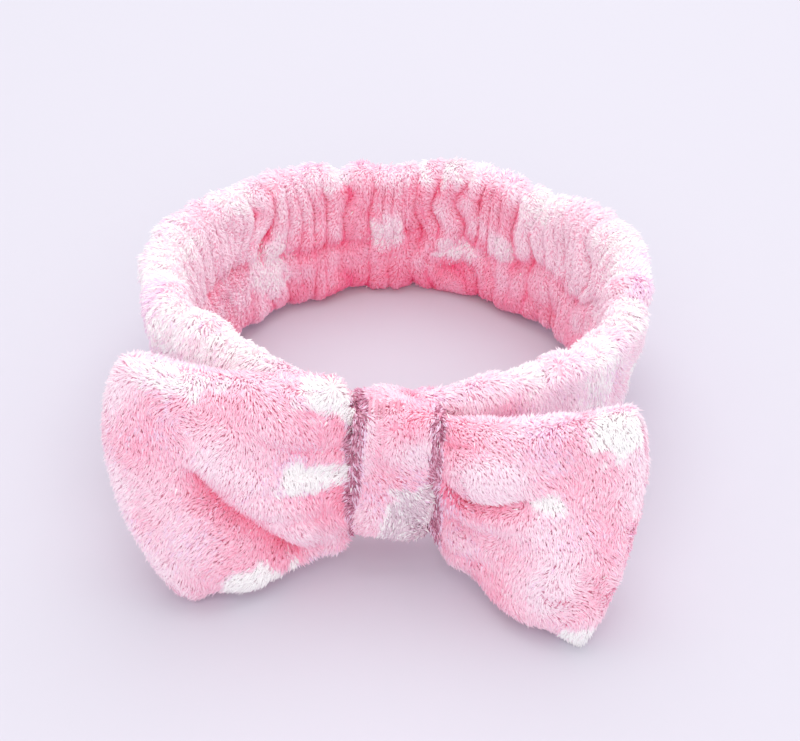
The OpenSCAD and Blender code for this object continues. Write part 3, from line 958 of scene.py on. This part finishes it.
def knot():
    skin = knot_skin()
    strip = cloth_object("knot_fleece", skin, inside=False)
    strip.data.materials.append(fleece("knot_cloth", 0.45))
    fur = pile("knot_pile", skin, 401, skin.fields["outside"][:, 0], lean=0.8)
    for piece in (strip, fur):
        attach(piece, "front")
    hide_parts("knot_wrap")


# ---------------------------------------------------------------- materials
def node_material(name):
    material = bpy.data.materials.new(name)
    material.use_nodes = True
    tree = material.node_tree
    return material, tree, tree.nodes["Principled BSDF"]


def add_bumps(tree, shader, height, strength, distance):
    bumps = tree.nodes.new("ShaderNodeBump")
    bumps.inputs["Strength"].default_value = strength
    bumps.inputs["Distance"].default_value = distance
    tree.links.new(height, bumps.inputs["Height"])
    tree.links.new(bumps.outputs["Normal"], shader.inputs["Normal"])


def colour_ramp(tree, share, *stops):
    """Stops are (position, colour). The first and the last come first, then those between them."""
    ramp = tree.nodes.new("ShaderNodeValToRGB")
    for element, (position, colour) in zip(ramp.color_ramp.elements, stops):
        element.position, element.color = position, colour
    for position, colour in stops[2:]:
        ramp.color_ramp.elements.new(position).color = colour
    tree.links.new(share, ramp.inputs["Fac"])
    return ramp.outputs["Color"]


def fleece(name, depth):
    """Short woolly ground cloth under the pile: pink to pale pink, with the white dots."""
    material, tree, shader = node_material(name)
    nodes, links = tree.nodes, tree.links
    # The tone attribute brings in the painted shade and light of the skins' fields along with the cloth's own
    # tone
    tone = nodes.new("ShaderNodeAttribute")
    tone.attribute_name = "tone"
    white = nodes.new("ShaderNodeAttribute")
    white.attribute_name = "white"
    where = nodes.new("ShaderNodeTexCoord")
    fuzz = nodes.new("ShaderNodeTexNoise")
    fuzz.inputs["Scale"].default_value = 900
    fuzz.inputs["Detail"].default_value = 3
    links.new(where.outputs["Object"], fuzz.inputs["Vector"])
    add = nodes.new("ShaderNodeMath")
    add.operation = "MULTIPLY_ADD"
    add.inputs[1].default_value = 0.5
    links.new(fuzz.outputs["Fac"], add.inputs[0])
    links.new(tone.outputs["Fac"], add.inputs[2])
    pale, deep, between = srgb(253, 214, 228), srgb(252, 165, 197), srgb(253, 198, 218)
    pink = colour_ramp(tree, add.outputs[0], (0.2, pale), (1.0, deep), (0.6, between))
    mix = nodes.new("ShaderNodeMix")
    mix.data_type = "RGBA"
    mix.inputs["B"].default_value = srgb(250, 244, 246)
    links.new(white.outputs["Fac"], mix.inputs["Factor"])
    links.new(pink, mix.inputs["A"])
    links.new(mix.outputs["Result"], shader.inputs["Base Color"])
    add_bumps(tree, shader, fuzz.outputs["Fac"], depth, 0.15 * MM)
    shader.inputs["Roughness"].default_value = 0.95
    shader.inputs["Specular IOR Level"].default_value = 0.1
    shader.inputs["Sheen Weight"].default_value = 0.3
    return material


def woven(name):
    """White elastic: fine cords along it, crossed by the weft."""
    material, tree, shader = node_material(name)
    nodes, links = tree.nodes, tree.links
    where = nodes.new("ShaderNodeTexCoord")
    weft = nodes.new("ShaderNodeTexWave")
    weft.inputs["Scale"].default_value = 420
    weft.inputs["Distortion"].default_value = 1.5
    links.new(where.outputs["Object"], weft.inputs["Vector"])
    white = colour_ramp(tree, weft.outputs["Fac"], (0, srgb(215, 210, 212)), (1, srgb(246, 243, 243)))
    links.new(white, shader.inputs["Base Color"])
    add_bumps(tree, shader, weft.outputs["Fac"], 0.5, 0.2 * MM)
    shader.inputs["Roughness"].default_value = 0.8
    return material


def thread(name, light, dark):
    """Twisted sewing thread."""
    material, tree, shader = node_material(name)
    nodes, links = tree.nodes, tree.links
    where = nodes.new("ShaderNodeTexCoord")
    twist = nodes.new("ShaderNodeTexWave")
    twist.bands_direction = "DIAGONAL"
    twist.inputs["Scale"].default_value = 900
    twist.inputs["Distortion"].default_value = 0.8
    links.new(where.outputs["Object"], twist.inputs["Vector"])
    colour = colour_ramp(tree, twist.outputs["Fac"], (0, dark), (1, light))
    links.new(colour, shader.inputs["Base Color"])
    add_bumps(tree, shader, twist.outputs["Fac"], 0.6, 0.15 * MM)
    shader.inputs["Roughness"].default_value = 0.6
    return material


def cad_materials():
    """The CAD pieces that stay as they are: the threads and the sewn ends of the tube."""
    pink = thread("pink_thread", srgb(248, 190, 208), srgb(226, 140, 170))
    white = thread("white_thread", srgb(246, 244, 244), srgb(212, 206, 210))
    finishes = {
        "gather_thread": pink, "knot_seam": pink, "band_end_seam": pink,
        "elastic_end_stitches": white,
    }
    for node, material in finishes.items():
        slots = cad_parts[node].data.materials
        slots.clear()
        slots.append(material)


# ---------------------------------------------------------------- studio
FLOOR_HALF = 6.0
FLOOR_COLOUR = (0.67, 0.655, 0.73, 1)
ROOM_COLOUR = (1.0, 0.985, 1.0, 1)
ROOM_STRENGTH = 0.83
# Each light: name, place, target, size and power
LIGHTS = (
    ("softbox", (0.1, 0.6, 1.5), (0, 0.1, 0.02), 1.8, 13.0),
    ("fill", (0.1, -1.0, 1.0), (0, 0.02, 0.02), 1.4, 4.5),
)
CAMERA_LENS = 85
CAMERA_PLACE = (0.0269, -0.5002, 0.4468)
CAMERA_TARGET = (0.0002, 0.0336, 0.0)


def studio():
    mesh = bpy.data.meshes.new("floor")
    half = FLOOR_HALF
    corners = [(-half, -half, 0), (half, -half, 0), (half, half, 0), (-half, half, 0)]
    mesh.from_pydata(corners, [], [(0, 1, 2, 3)])
    floor = bpy.data.objects.new("floor", mesh)
    bpy.context.scene.collection.objects.link(floor)
    material, _, shader = node_material("floor_paper")
    shader.inputs["Base Color"].default_value = FLOOR_COLOUR
    shader.inputs["Roughness"].default_value = 0.9
    shader.inputs["Specular IOR Level"].default_value = 0.05
    mesh.materials.append(material)
    scene = bpy.context.scene
    world = bpy.data.worlds.new("soft_room")
    world.use_nodes = True
    background = world.node_tree.nodes["Background"]
    background.inputs["Color"].default_value = ROOM_COLOUR
    background.inputs["Strength"].default_value = ROOM_STRENGTH
    scene.world = world
    for light in LIGHTS:
        add_light(*light)
    scene.view_settings.view_transform = "Standard"
    scene.view_settings.look = "None"
    scene.cycles.max_bounces = 20
    scene.cycles.diffuse_bounces = 16


def add_light(name, place, target, size, power):
    light = bpy.data.lights.new(name, "AREA")
    light.shape = "DISK"
    light.size = size
    light.energy = power
    obj = bpy.data.objects.new(name, light)
    bpy.context.scene.collection.objects.link(obj)
    aim(obj, place, target)


def aim(obj, place, target):
    obj.location = place
    obj.rotation_euler = (Vector(target) - Vector(place)).to_track_quat("-Z", "Y").to_euler()


def camera():
    """The photo's camera: its place follows from the photo's perspective."""
    lens = bpy.data.cameras.new("photo_camera")
    lens.lens = CAMERA_LENS
    lens.sensor_width = 36
    obj = bpy.data.objects.new("photo_camera", lens)
    bpy.context.scene.collection.objects.link(obj)
    aim(obj, CAMERA_PLACE, CAMERA_TARGET)
    bpy.context.scene.camera = obj


# ---------------------------------------------------------------- the scene
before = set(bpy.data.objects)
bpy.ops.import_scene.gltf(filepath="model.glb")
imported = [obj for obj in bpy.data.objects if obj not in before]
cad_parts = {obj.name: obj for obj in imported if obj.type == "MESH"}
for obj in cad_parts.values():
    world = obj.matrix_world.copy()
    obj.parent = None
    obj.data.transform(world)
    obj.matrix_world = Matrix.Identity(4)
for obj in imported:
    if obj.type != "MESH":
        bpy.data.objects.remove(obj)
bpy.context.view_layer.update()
PILE = pile_materials()
camera()
studio()
band()
elastic()
loops()
bow_middle()
knot()
cad_materials()
